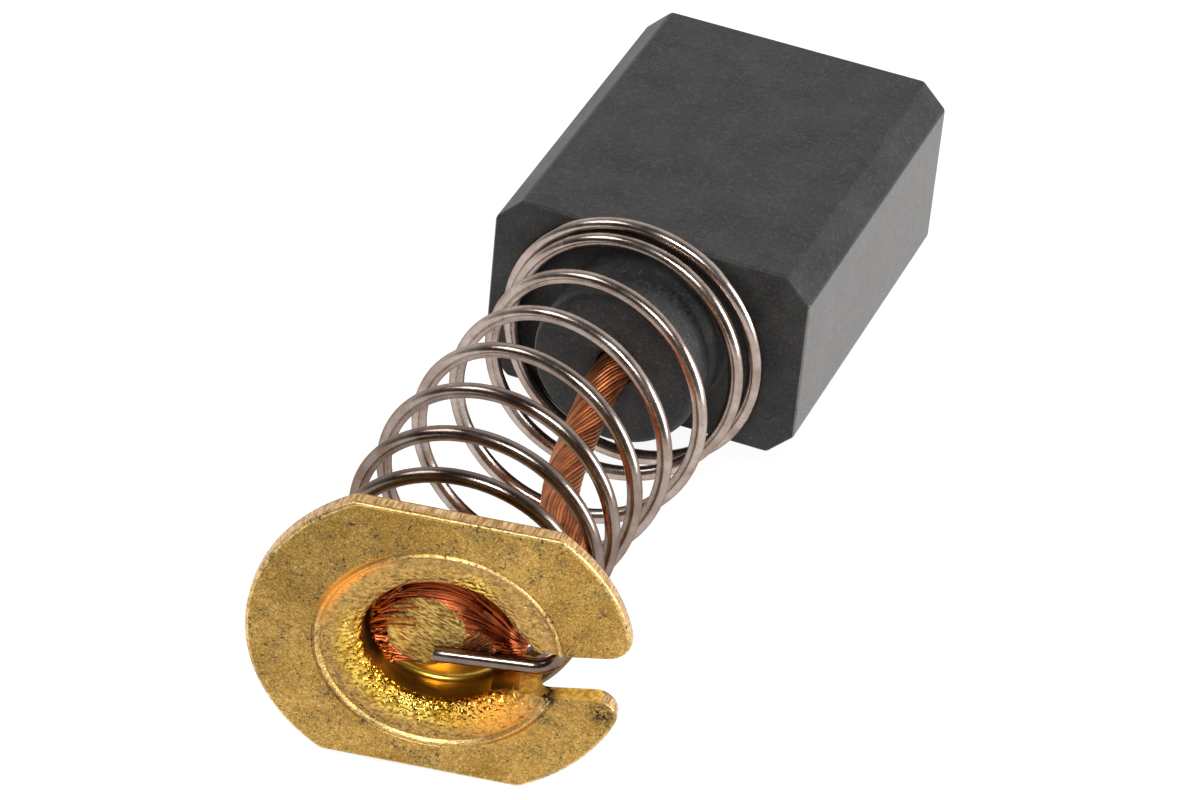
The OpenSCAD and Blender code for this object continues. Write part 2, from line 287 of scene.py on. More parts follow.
def carbon_material(name, dark, light, dust, gloss):
    """Pressed carbon: soft clouds, a fine dusty grain and small pits."""
    n = Nodes(name)
    cloud = n.noise(1.6, 5, 0.65)
    grain = n.noise(0.11, 4, 0.75, n.stretched((1, 1.6, 1)))
    pits = n.cells(0.34)
    colour = n.mix(n.ramp(cloud, [(0.36, 0.0), (0.68, 1.0)]), dark, light)
    colour = n.mix(n.ramp(grain, [(0.52, 0.0), (0.72, 0.6)]), colour, dust)
    colour = n.mix(n.ramp(pits, [(0.06, 0.8), (0.16, 0.0)]), colour, (0.008, 0.008, 0.008))
    rough = n.ramp(cloud, [(0.3, 0.36), (0.7, 0.48)])
    normal = n.bump(grain, 0.035, 0.6)
    normal = n.bump(n.ramp(pits, [(0.05, 0.0), (0.2, 1.0)]), 0.02, 0.4, normal)
    return n.finish(colour, rough, normal=normal, Specular_IOR_Level=gloss)


def steel_material():
    """Spring wire: darker towards the cap."""
    n = Nodes("spring_steel")
    patches = n.noise(0.9, 4, 0.6)
    specks = n.noise(0.12, 3, 0.7)
    colour = n.mix(n.ramp(patches, [(0.35, 0.0), (0.7, 1.0)]), (0.32, 0.24, 0.20), (0.54, 0.46, 0.415))
    near_cap = n.math("MULTIPLY", n.along(CAP_AT + 2 * INWARD, INWARD), 0.0707)
    colour = n.mix(n.ramp(near_cap, [(0.1, 1.0), (0.6, 0.0)]), colour, (0.48, 0.44, 0.42), "MULTIPLY")
    colour = n.mix(n.ramp(specks, [(0.60, 0.0), (0.74, 0.6)]), colour, (0.10, 0.06, 0.045))
    rough = n.ramp(patches, [(0.3, 0.14), (0.7, 0.26)])
    return n.finish(colour, rough, 1.0, n.bump(specks, 0.006, 0.4), Specular_Tint=(0.5, 0.44, 0.4, 1))


def brass_colour(n, dark=(0.42, 0.225, 0.04), light=(0.66, 0.395, 0.10)):
    """Brass with clouds, stains, a fine grain and dark specks; also gives the two noises for the bumps."""
    cloud = n.noise(1.7, 5, 0.62)
    stains = n.noise(0.8, 6, 0.7)
    mottle = n.noise(0.13, 6, 0.8)
    specks = n.math("ADD", n.noise(0.1, 2, 0.6), n.math("MULTIPLY", n.math("SUBTRACT", stains, 0.5), 0.5))
    colour = n.mix(n.ramp(cloud, [(0.38, 0.0), (0.62, 1.0)]), dark, light)
    colour = n.mix(n.ramp(stains, [(0.50, 0.0), (0.64, 0.6)]), colour, (0.24, 0.17, 0.07))
    fine = n.noise(0.055, 3, 0.6)
    colour = n.mix(n.ramp(mottle, [(0.44, 0.0), (0.60, 0.6)]), colour, (0.20, 0.12, 0.03))
    colour = n.mix(n.ramp(fine, [(0.48, 0.0), (0.60, 0.55)]), colour, (0.20, 0.12, 0.03))
    colour = n.mix(n.ramp(fine, [(0.32, 0.6), (0.44, 0.0)]), colour, (0.84, 0.60, 0.24))
    colour = n.mix(n.ramp(specks, [(0.645, 0.0), (0.71, 0.9)]), colour, (0.06, 0.042, 0.024))
    return colour, mottle, specks


def near_point(n, u, v, reach):
    """1 at a point of the plate, falling to 0 at reach mm from it."""
    return n.ramp(n.from_plate_point(u, v, 0.5 / reach), [(0.1, 1.0), (0.5, 0.0)])


def painted_reflection_and_soot(n, colour):
    """A painted orange reflection on the ring and below the slot, and soot in the slot's two lower corners.
    """
    ring = n.ramp(n.from_plate_point(*CUP_AT, 0.25), [(0.76, 0.0), (0.80, 1.0), (0.87, 1.0), (0.90, 0.0)])
    # painted orange reflection on the ring, towards its upper left
    ring_reflection = n.math("MULTIPLY", n.math("MULTIPLY", near_point(n, -2.75, 1.65, 1.8), ring), 0.9)
    colour = n.mix(ring_reflection, colour, (1.0, 0.42, 0.07))
    # painted orange reflection below the slot
    colour = n.mix(n.math("MULTIPLY", near_point(n, 1.7, -1.9, 1.4), 0.9), colour, (0.98, 0.42, 0.06))
    soot = n.ramp(n.noise(0.16, 3, 0.7), [(0.42, 0.0), (0.50, 1.0)])
    for u, v, reach in ((4.75, -1.3, 0.5), (3.2, -1.1, 0.4)):
        colour = n.mix(n.math("MULTIPLY", near_point(n, u, v, reach), soot), colour, (0.02, 0.016, 0.012))
    return colour


def brass_material():
    """Tumbled brass, darker towards the upper left."""
    n = Nodes("cap_brass")
    colour, mottle, specks = brass_colour(n)
    # darker towards the upper left
    tone_variation = n.from_plate_point(-5, 3, 0.1)
    colour = n.mix(n.ramp(tone_variation, [(0.1, 0.8), (0.7, 0.0)]), colour, (0.70, 0.71, 0.72), "MULTIPLY")
    colour = painted_reflection_and_soot(n, colour)
    rough = n.ramp(mottle, [(0.3, 0.28), (0.7, 0.48)])
    normal = n.bump(mottle, 0.03, 0.45)
    normal = n.bump(specks, 0.02, 0.4, normal)
    return n.finish(colour, rough, 1.0, normal)


def lip_material():
    """The drawn mouth, grained: painted shade dulls it by the ring and on the upper lip, so its inner part
    reads bright as a painted highlight, with a painted highlight on the upper lip's inner edge.
    """
    n = Nodes("cap_brass_drawn")
    mottle = n.noise(0.17, 5, 0.75)
    grains = n.cells(0.15)
    cloud = n.noise(0.9, 4, 0.6)
    colour = n.mix(n.ramp(cloud, [(0.38, 0.0), (0.62, 1.0)]), (0.80, 0.47, 0.05), (1.0, 0.71, 0.15))
    colour = n.mix(n.ramp(grains, [(0.45, 0.0), (0.62, 0.75)]), colour, (0.30, 0.15, 0.015))
    colour = n.mix(n.ramp(mottle, [(0.54, 0.0), (0.66, 0.7)]), colour, (0.40, 0.22, 0.03))
    peel = n.noise(0.15, 2, 0.5)
    reach = n.math("ADD", n.from_plate_point(*CUP_AT, 0.25),
                   n.math("MULTIPLY", n.math("SUBTRACT", peel, 0.5), 0.16))
    # painted shade: the band by the ring is dull, so the inner lip reads bright as a painted highlight; the
    # same mask makes the shaded brass rougher
    dull_and_painted_shade = n.ramp(reach, [(0.66, 0.0), (0.76, 1.0)])
    # the darker, dull brass of the painted shade
    plain = n.mix(n.ramp(mottle, [(0.40, 0.0), (0.62, 1.0)]), (0.62, 0.38, 0.12), (0.28, 0.16, 0.05))
    # painted shade on the upper lip, away from a point low on the left
    painted_shade_above = n.ramp(n.from_plate_point(-1.2, -2.6, 0.15), [(0.42, 0.0), (0.56, 0.85)])
    dull_and_painted_shade = n.math("MAXIMUM", dull_and_painted_shade, painted_shade_above)
    # a painted highlight on the upper lip's inner edge
    dull_and_painted_shade = n.math("SUBTRACT", dull_and_painted_shade, near_point(n, 0.7, 2.2, 0.7))
    colour = painted_reflection_and_soot(n, n.mix(dull_and_painted_shade, colour, plain))
    normal = n.bump(grains, 0.085, 0.75)
    normal = n.bump(peel, 0.10, 0.75, normal)
    return n.finish(colour, n.ramp(dull_and_painted_shade, [(0.0, 0.14), (1.0, 0.36)]), 1.0, normal)


def painted_highlight_material():
    """Lighter brass on the ring's bead and the plate's edge: a painted highlight where their rounded edges
    catch the light.
    """
    n = Nodes("cap_brass_painted_highlight")
    colour, mottle, _ = brass_colour(n, (0.80, 0.50, 0.16), (1.0, 0.70, 0.32))
    colour = painted_reflection_and_soot(n, colour)
    return n.finish(colour, 0.34, 1.0, n.bump(mottle, 0.03, 0.5))


def slot_material():
    """The slot's sides: bright, partly metallic brass, painted light that stands in for light reflected onto
    them from every side.
    """
    n = Nodes("cap_brass_slot")
    drawn = n.noise(0.16, 5, 0.7)
    colour = n.mix(n.ramp(drawn, [(0.40, 0.0), (0.58, 1.0)]), (0.52, 0.26, 0.03), (0.98, 0.62, 0.12))
    colour = painted_reflection_and_soot(n, colour)
    return n.finish(colour, 0.4, 0.7, n.bump(drawn, 0.04, 0.6))


def wall_material():
    """The cup's wall and floor, streaked where the sheet was drawn."""
    n = Nodes("cap_brass_wall")
    drawn = n.noise(0.4, 4, 0.6, n.stretched((3, 1, 3)))
    colour = n.mix(n.ramp(drawn, [(0.35, 0.0), (0.7, 1.0)]), (0.50, 0.27, 0.035), (0.80, 0.50, 0.11))
    return n.finish(colour, 0.3, 1.0, n.bump(drawn, 0.03, 0.5))


def sheared_material():
    """The plate's cut edge, streaked through its thickness."""
    n = Nodes("cap_brass_sheared")
    streaks = n.noise(0.07, 3, 0.6, n.stretched((1, 8, 1)))
    cloud = n.noise(0.7, 3, 0.6)
    colour = n.mix(n.ramp(streaks, [(0.38, 0.0), (0.62, 1.0)]), (0.40, 0.20, 0.05), (0.94, 0.62, 0.32))
    colour = n.mix(n.ramp(cloud, [(0.5, 0.0), (0.7, 0.7)]), colour, (0.55, 0.28, 0.07))
    return n.finish(colour, 0.3, 1.0, n.bump(streaks, 0.06, 0.8))


def copper_material(name, bright, dark, rough):
    """Copper strands, each with a shade of its own."""
    n = Nodes(name)
    tone_variation = n.noise(0.5, 4, 0.65)
    geometry = n.tree.nodes.new("ShaderNodeNewGeometry")
    shade = n.math("ADD", n.math("MULTIPLY", geometry.outputs["Random Per Island"], 0.45),
                   n.math("MULTIPLY", tone_variation, 0.8))
    colour = n.mix(n.ramp(shade, [(0.35, 0.0), (0.85, 1.0)]), dark, bright)
    return n.finish(colour, rough, 1.0, n.bump(n.noise(0.05, 2), 0.004, 0.4))


def pressed_material(name, light, dark, groove, at, reach, turn):
    """Strands pressed flat: hatched, and copper again towards the edge."""
    n = Nodes(name)
    cloud = n.noise(0.6, 4, 0.6)
    hatch = n.noise(0.055, 3, 0.6, n.stretched((7, 1, 1), (0, turn, 0)), 0.3)
    edge = n.math("ADD", n.from_plate_point(*at, 1 / (1.6 * reach)),
                  n.math("MULTIPLY", n.math("SUBTRACT", n.noise(0.25, 4, 0.7), 0.5), 0.7))
    colour = n.mix(n.ramp(cloud, [(0.38, 0.0), (0.62, 1.0)]), light, dark)
    colour = n.mix(n.ramp(edge, [(0.52, 0.0), (0.64, 0.9)]), colour, (0.40, 0.12, 0.04))
    colour = n.mix(n.ramp(hatch, [(0.46, 0.0), (0.58, 0.9)]), colour, groove)
    colour = n.mix(n.ramp(hatch, [(0.34, 0.6), (0.44, 0.0)]), colour, (0.86, 0.70, 0.36))
    return n.finish(colour, 0.38, 1.0, n.bump(hatch, 0.12, 1.0))


CARBON = carbon_material("pressed_carbon", (0.012, 0.012, 0.012), (0.03, 0.029, 0.028),
                         dust=(0.07, 0.068, 0.066), gloss=0.2)
# a lighter, glossier carbon for the two narrow side faces: painted light, as where light from the side falls
# on them
CARBON_PAINTED_LIGHT = carbon_material("carbon_sides_painted_light", (0.05, 0.047, 0.045), (0.085, 0.08, 0.076),
                         dust=(0.16, 0.15, 0.142), gloss=0.5)
STEEL = steel_material()
BRASS, LIP, WALL = brass_material(), lip_material(), wall_material()
SHEARED, PAINTED_HIGHLIGHT_BRASS, SLOT = sheared_material(), painted_highlight_material(), slot_material()
COPPER = copper_material("copper_strands", (0.46, 0.12, 0.04), (0.06, 0.01, 0.003), rough=0.26)
# dark copper for the sheet under the fan: painted shade in the gaps between the strands
COPPER_PAINTED_SHADE = copper_material("copper_painted_shade", (0.12, 0.028, 0.01), (0.035, 0.007, 0.003), rough=0.45)
LEAD = copper_material("copper_lead", (0.70, 0.25, 0.09), (0.24, 0.065, 0.025), rough=0.36)
WELD = pressed_material("weld_patch", (0.78, 0.54, 0.16), (0.56, 0.37, 0.08), (0.17, 0.08, 0.02),
                        at=(-0.50, -0.36), reach=1.4, turn=0.5)
PRESSED = pressed_material("pressed_strands", (0.52, 0.19, 0.06), (0.38, 0.12, 0.035), (0.10, 0.025, 0.01),
                           at=(1.02, -0.5), reach=0.6, turn=-0.7)

# ------------------------------------------------------------------ carbon block


def carbon_block():
    """Chamfered block and boss; every edge is rounded a little, as a pressed part's are."""
    half_w, half_t, c = block_hi[0], block_hi[2], EDGE_CHAMFER
    outline = [(-half_w + c, -half_t), (half_w - c, -half_t), (half_w, -half_t + c), (half_w, half_t - c),
               (half_w - c, half_t), (-half_w + c, half_t), (-half_w, half_t - c), (-half_w, -half_t + c)]
    n = len(outline)
    verts = [(x, y, z) for y in (0.0, SHOULDER) for x, z in outline]
    faces = [tuple(range(n)), tuple(range(n, 2 * n))[::-1]]
    faces += [(i, (i + 1) % n, n + (i + 1) % n, n + i) for i in range(n)]
    # the two narrow side faces take the lighter carbon, painted light from the side
    painted_light_faces = [1 if k in (4, 8) else 0 for k in range(len(faces))]       # the two narrow side faces
    block = piece("carbon_body", verts, faces, "brush", [CARBON, CARBON_PAINTED_LIGHT], face_slots=painted_light_faces)
    bevel = block.modifiers.new("edges", "BEVEL")
    bevel.width, bevel.segments, bevel.limit_method = 0.11 * MM, 3, "ANGLE"
    bevel.angle_limit = math.radians(20)
    bevel.harden_normals = True

    around = 96
    hole_r = LEAD_D / 2 + 0.02
    profile = [(BOSS_R + 0.18, 0.02), (BOSS_R + 0.07, -0.04), (BOSS_R, -0.16), (BOSS_R, -BOSS_H + 0.25),
               (BOSS_R - 0.04, -BOSS_H + 0.14), (BOSS_R - 0.12, -BOSS_H + 0.04), (BOSS_R - 0.25, -BOSS_H),
               (1.1, -BOSS_H), (0.8, -BOSS_H + 0.03), (hole_r + 0.05, -BOSS_H + 0.12),
               (hole_r, -BOSS_H + 0.3), (hole_r, -0.6), (0.02, -0.6)]
    verts, faces = lathe(profile, around)
    boss = piece("carbon_boss", verts, faces, "brush", [CARBON], sharp=40)
    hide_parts("carbon_block")


def lathe(profile, around):
    """Revolve (radius, offset from the shoulder along Y) about the block's own axis."""
    verts = [(r * math.cos(TURN * j / around), SHOULDER + y, r * math.sin(TURN * j / around))
             for r, y in profile for j in range(around)]
    faces = [(i * around + j, i * around + (j + 1) % around, (i + 1) * around + (j + 1) % around,
              (i + 1) * around + j) for i in range(len(profile) - 1) for j in range(around)]
    faces.append(tuple((len(profile) - 1) * around + j for j in range(around)))
    faces.append(tuple(range(around))[::-1])
    return verts, faces


carbon_block()

# ------------------------------------------------------------------ spring

axis_to = on_cap(CAP_COIL_AT[0], SHEET_T, CAP_COIL_AT[1])
chord = np.linalg.norm(axis_to - AXIS_FROM)
pull_from = np.array([0, -1, 0]) * chord * STIFF_BRUSH
pull_to = -INWARD * chord * STIFF_CAP


def axis_point(s):
    return ((2 * s**3 - 3 * s**2 + 1) * AXIS_FROM + (s**3 - 2 * s**2 + s) * pull_from
            + (3 * s**2 - 2 * s**3) * axis_to + (s**3 - s**2) * pull_to)


def axis_heading(s):
    return unit((6 * s**2 - 6 * s) * AXIS_FROM + (3 * s**2 - 4 * s + 1) * pull_from
                + (6 * s - 6 * s**2) * axis_to + (3 * s**2 - 2 * s) * pull_to)


AXIS_STEPS = 40
axis_sums = [0.0]
for i in range(AXIS_STEPS):
    step = axis_point((i + 1) / AXIS_STEPS) - axis_point(i / AXIS_STEPS)
    axis_sums.append(axis_sums[-1] + np.linalg.norm(step))

tail_rad = math.radians(TAIL_ANGLE)
off_line = -math.sin(tail_rad) * CAP_COIL_AT[0] + math.cos(tail_rad) * CAP_COIL_AT[1]
END_ANGLE = TAIL_ANGLE + math.degrees(
    math.asin((TAIL_BEND_R - TAIL_DROP - off_line) / (CAP_COIL_R - TAIL_BEND_R)))
TURNS = WHOLE_TURNS + (START_ANGLE - END_ANGLE) / 360


def openness(t):
    return smooth((t - CLOSED_TURNS) / OPENING_TURNS) * (
        1 - PITCH_TAPER * (max(0, t - CLOSED_TURNS) / (TURNS - CLOSED_TURNS)) ** 1.5)


WEIGHT_STEPS = 900
open_sums = np.concatenate([[0], np.cumsum(
    [openness((i + 0.5) * TURNS / WEIGHT_STEPS) for i in range(WEIGHT_STEPS)])])
OPEN_RISE = axis_sums[-1] - 2 * (WIRE_R + SEAT_GAP) - CLOSED_PITCH * TURNS


def coil_place(t):
    """Wire's middle and its side direction after t turns."""
    share = np.interp(t / TURNS * WEIGHT_STEPS, range(WEIGHT_STEPS + 1), open_sums) / open_sums[-1]
    rise = WIRE_R + SEAT_GAP + CLOSED_PITCH * t + OPEN_RISE * share
    s = np.interp(rise, axis_sums, [i / AXIS_STEPS for i in range(AXIS_STEPS + 1)])
    along = axis_heading(s)
    rough = unit((1 - s) * np.array([1, 0, 0]) + s * ACROSS)
    across = unit(rough - rough.dot(along) * along)
    up = np.cross(along, across)
    angle = math.radians(START_ANGLE) - TURN * t
    r = (COIL_R + (BRUSH_COIL_R - COIL_R) * (1 - smooth(t / FLARE_TURNS))
         + (CAP_COIL_R - COIL_R) * smooth((t - TURNS + TUCK_TURNS) / TUCK_TURNS))
    return axis_point(s) + r * (math.cos(angle) * across + math.sin(angle) * up), along


def spring():
    per_turn, sides = 84, 16
    seat_end, cap_start = CLOSED_TURNS + 0.05, TURNS - 0.98
    last_angle = math.radians(END_ANGLE)

    def wire(t0, t1):
        steps = max(8, round((t1 - t0) * per_turn))
        return [coil_place(t0 + (t1 - t0) * i / steps) for i in range(steps + 1)]

    seat, free, last = wire(0, seat_end), wire(seat_end, cap_start), wire(cap_start, TURNS)
    depth = SHEET_T + WIRE_R + SEAT_GAP
    outward = np.array([math.cos(last_angle), math.sin(last_angle)])
    bend_at = CAP_COIL_AT + (CAP_COIL_R - TAIL_BEND_R) * outward
    bend_steps, tail_steps = 28, 24
    for i in range(1, bend_steps + 1):
        a = last_angle + (tail_rad - math.pi / 2 - last_angle) * i / bend_steps
        p = bend_at + TAIL_BEND_R * np.array([math.cos(a), math.sin(a)])
        last.append((on_cap(p[0], depth, p[1]), INWARD))
    for i in range(1, tail_steps + 1):
        q = p - TAIL_LENGTH * i / tail_steps * np.array([math.cos(tail_rad), math.sin(tail_rad)])
        last.append((on_cap(q[0], depth, q[1]), INWARD))
    made = {}
    for name, run, body, first_end, last_end in (("spring_seat", seat, "brush", 0.86, 1),
                                                 ("spring_free", free, "brush", 1, 1),
                                                 ("spring_end", last, "cap", 1, 0.9)):
        radii = np.full(len(run), WIRE_R)
        radii[0] *= first_end       # a cut end is a little narrower than the wire
        radii[-1] *= last_end
        verts, faces = tube([p for p, _ in run], radii, radii, [s for _, s in run], sides)
        made[name] = piece(name, verts, faces, body, [STEEL], sharp=60)
    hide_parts("spring")
    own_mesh(made["spring_free"])


spring()

# ------------------------------------------------------------------ contact cap


BULGE_REACH = np.linalg.norm(BULGE_FROM_CUP)
BULGE_TURN = math.atan2(BULGE_FROM_CUP[1], BULGE_FROM_CUP[0])
SLOT_ALONG = np.array([math.cos(SLOT_ANGLE), math.sin(SLOT_ANGLE)])
SLOT_UP = np.array([-math.sin(SLOT_ANGLE), math.cos(SLOT_ANGLE)])


def round_cup(theta, cup_r, bulge_r):
    """Distance from the cup's middle to a circle that is drawn out towards the slot."""
    d = theta - BULGE_TURN
    under = bulge_r**2 - (BULGE_REACH * math.sin(d)) ** 2
    if under <= 0 or math.cos(d) < 0:
        return cup_r
    drawn = BULGE_REACH * math.cos(d) + math.sqrt(under)
    blend = 0.06        # how softly the two circles run into each other, mm
    near = math.exp(-abs(cup_r - drawn) / blend)
    return max(cup_r, drawn) + blend * (math.log1p(near) - math.log(2) * near)


def mouth(theta):
    return round_cup(theta, CUP_R, BULGE_R)


def lip_edge(theta):
    return round_cup(theta, CUP_R + LIP_W, BULGE_R + BULGE_LIP_W)


def corner_centre(side):
    """Middle of a rounded corner of the slot's mouth, in the plate's own directions."""
    y = side * (SLOT_HALF + MOUTH_R) - SLOT_DROP
    return math.sqrt((PLATE_R - MOUTH_R) ** 2 - y**2) * SLOT_ALONG + y * SLOT_UP


def rim(theta):
    """Distance from the cup's middle to the plate's edge: round, two flats, two rounded corners."""
    ray = np.array([math.cos(theta), math.sin(theta)])
    along = ray.dot(CUP_AT)
    r = -along + math.sqrt(along**2 - CUP_AT.dot(CUP_AT) + PLATE_R**2)
    for flat in (PLATE_FLAT, -PLATE_FLAT):
        if ray[1] * flat > 0:
            r = min(r, (flat - CUP_AT[1]) / ray[1])
    for side in (1, -1):
        centre = corner_centre(side) - CUP_AT
        outward = centre + CUP_AT
        across = ray[0] * centre[1] - ray[1] * centre[0]
        on_slot_side = (ray[0] * outward[1] - ray[1] * outward[0]) * side > 0
        if on_slot_side and abs(across) < 2 * MOUTH_R and ray.dot(centre) > 0:
            r = min(r, ray.dot(centre) + math.sqrt(max(0, MOUTH_R**2 - across**2)))
    return r


INNER_R = SLOT_START - CUP_AT.dot(SLOT_ALONG) + 0.008      # rows within it don't reach the slot


def in_metal(point, side):
    """Whether a point on the slot's upper (1) or lower (-1) side is outside the slot."""
    p = point + CUP_AT
    centre = corner_centre(side)
    if p.dot(SLOT_ALONG) < SLOT_START:
        return True
    if p.dot(SLOT_ALONG) > centre.dot(SLOT_ALONG) and (p.dot(SLOT_UP) - centre.dot(SLOT_UP)) * side < 0:
        return np.linalg.norm(p - centre) <= MOUTH_R + 1e-6
    return (p.dot(SLOT_UP) + SLOT_DROP) * side >= SLOT_HALF


def border(radius, side):
    """Angle at which a row of this radius meets the slot's side."""
    air = SLOT_ANGLE - 0.1
    metal = air + side * 1.5
    for _ in range(40):
        middle = (air + metal) / 2
        r = radius(middle)
        if in_metal(np.array([r * math.cos(middle), r * math.sin(middle)]), side):
            metal = middle
        else:
            air = middle
    return metal


def mouth_end(theta, back):
    """Where the rolled mouth ends and the flat of the sheet begins."""
    return mouth(theta) + CUP_WALL + ROOT_R if back else lip_edge(theta)


def cap_rows(back):
    """Each row: (radius as a function of the angle, depth, material). Front and back have equal rows."""
    rows = []
    thick = CUP_WALL if back else 0
    floor, corner = CUP_DEPTH + thick, FLOOR_R + thick
    lip_end = SHEET_T + ROOT_R if back else RING_DEPTH + LIP_H
    inner = INNER_R

    def add(radius, depth, material):
        rows.append((radius, depth, material))

    def wall(th):
        return mouth(th) + thick

    for r in (0.25, 0.5, 0.8, 1.1, inner):
        add(lambda th, r=r: r, floor, WALL)
    for i in range(1, 7):
        add(lambda th, f=i / 6: inner + (wall(th) - corner - inner) * f, floor, WALL)
    for i in range(1, 8):
        a = math.pi / 2 * i / 7
        add(lambda th, a=a: wall(th) - corner + corner * math.sin(a), floor - corner + corner * math.cos(a),
            WALL)
    for i in range(1, 6):
        add(wall, floor - corner + (lip_end - floor + corner) * i / 6, WALL)
    for i in range(17):
        a = math.pi / 2 * i / 16
        if back:
            add(lambda th, a=a: wall(th) + ROOT_R * (1 - math.cos(a)), lip_end - ROOT_R * math.sin(a),
                LIP)
        else:
            add(lambda th, a=a: lip_edge(th) - (lip_edge(th) - mouth(th)) * math.cos(a),
                lip_end - LIP_H * math.sin(a), LIP)
    foot, ridge, outside = RING_R - 0.19, 0.04, RING_R + 0.08
    for i in range(1, 5):
        add(lambda th, f=i / 4: mouth_end(th, back) + (foot - mouth_end(th, back)) * f,
            SHEET_T if back else RING_DEPTH, LIP)
    # the ring's bead takes the painted highlight brass
    for i in range(1, 13):
        f = i / 12
        depth = (RING_DEPTH + ridge) * (1 - smooth(f / 0.55)) - ridge if f < 0.55 else \
            -ridge + (ridge + 0.035) * smooth((f - 0.55) / 0.35) - 0.035 * smooth((f - 0.88) / 0.12)
        add(lambda th, f=f: foot + (outside - foot) * f, SHEET_T if back else depth,
            PAINTED_HIGHLIGHT_BRASS if 2 < i < 10 else BRASS)
    edge = 0.1
    for i in range(1, 13):
        add(lambda th, f=i / 12: outside + (rim(th) - edge - outside) * f, SHEET_T if back else 0.0, BRASS)
    # the plate's rounded edge takes the painted highlight brass
    for i in range(1, 5):
        a = math.pi / 2 * i / 4
        add(lambda th, a=a: rim(th) - edge + edge * math.sin(a),
            SHEET_T - edge + edge * math.cos(a) if back else edge * (1 - math.cos(a)), PAINTED_HIGHLIGHT_BRASS)
    return rows


def contact_cap():
    beside_slot, close, even = 0.16, 18, 260        # columns crowd together beside the slot
    near = [beside_slot * (k / close) ** 1.8 for k in range(close)]
    spread = near + list(np.linspace(beside_slot, TURN - beside_slot, even)) + [TURN - x for x in near[::-1]]
    shares = [x / TURN for x in spread]
    columns = len(shares)
    verts, faces, looks = [], [], []
    closed_rows = 5         # the first rows are whole circles, the others stop at the slot
    first_angle = border(lambda th: INNER_R, 1)
    sheets = []
    for back in (False, True):
        rows = cap_rows(back)
        centre = len(verts)
        verts.append(on_cap(CUP_AT[0], rows[0][1], CUP_AT[1]))
        start = len(verts)
        for k, (radius, depth, _) in enumerate(rows):
            if k < closed_rows:
                lo, hi = first_angle, first_angle + TURN
            else:
                lo, hi = border(radius, 1), border(radius, -1) + TURN
            for share in shares:
                th = lo + (hi - lo) * share
                r = radius(th)
                verts.append(on_cap(CUP_AT[0] + r * math.cos(th), depth, CUP_AT[1] + r * math.sin(th)))
        for j in range(columns - 1):
            faces.append((centre, start + j, start + j + 1))
            looks.append(WALL)
            for k in range(len(rows) - 1):
                a = start + k * columns + j
                faces.append((a, a + 1, a + columns + 1, a + columns))
                looks.append(BRASS if back else rows[k + 1][2])
        sheets.append((start, rows))
    (front, rows), (rear, _) = sheets
    last = (len(rows) - 1) * columns
    for j in range(columns - 1):
        a, b = front + last + j, rear + last + j
        faces.append((a, a + 1, b + 1, b))
        looks.append(SHEARED)
    for k in range(closed_rows - 1, len(rows) - 1):
        for j in (0, columns - 1):
            a, b = front + k * columns + j, rear + k * columns + j
            faces.append((a, a + columns, b + columns, b))
            looks.append(SLOT)
    materials = [BRASS, LIP, WALL, SHEARED, PAINTED_HIGHLIGHT_BRASS, SLOT]
    obj = piece("cap_plate", verts, faces, "cap", materials, sharp=38,
                face_slots=[materials.index(m) for m in looks])
    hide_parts("contact_cap")


contact_cap()

# ------------------------------------------------------------------ pigtail

WELD_T, WELD_GAP = 0.32, 0.02
weld_depth = CUP_DEPTH - WELD_GAP - WELD_T / 2
lead_route = [((x, SHOULDER - y, z), LEAD_D, LEAD_D) for x, y, z in
              ((0, -3, 0), (0, 0, 0), (0, 2.5, 0), (0, 3.4, 0), (0.1, 4.6, -0.15), (0.3, 6, -0.2),
               (0.6, 7.6, 0), (1, 9.2, 0.1), (1.5, 10.4, 0.25), (2.05, 11.3, 0.3), (2.35, 12.2, 0.1))]
lead_route += [(on_cap(*p), w, h) for p, w, h in (
    ((2.15, CUP_DEPTH + 1.6, -0.42), LEAD_D, LEAD_D),
    ((2.1, CUP_DEPTH + 0.7, -0.45), LEAD_D, LEAD_D * 0.95),
    ((2, CUP_DEPTH + 0.15, -0.4), LEAD_D, LEAD_D * 0.65),
    ((1.65, weld_depth, -0.35), LEAD_D * 1.05, WELD_T * 1.1),
    ((1, weld_depth, -0.25), 1.8, WELD_T),
    ((0.4, weld_depth, -0.05), 2.7, WELD_T),
    ((-0.3, weld_depth, 0), 3, WELD_T),
    ((-1, weld_depth, 0), 2.85, WELD_T),
    ((-1.5, weld_depth, 0), 2.25, WELD_T))]


def curve_through(values, steps):
    """Catmull-Rom curve through rows of numbers."""
    v = np.asarray(values, float)
    out = []
    for i in range(len(v) - 1):
        a, b, c, d = v[max(i - 1, 0)], v[i], v[i + 1], v[min(i + 2, len(v) - 1)]
        for k in range(steps):
            t = k / steps
            out.append(0.5 * (2 * b + (c - a) * t + (2 * a - 5 * b + 4 * c - d) * t * t
                              + (3 * b - a - 3 * c + d) * t**3))
    out.append(v[-1])
    return np.array(out)


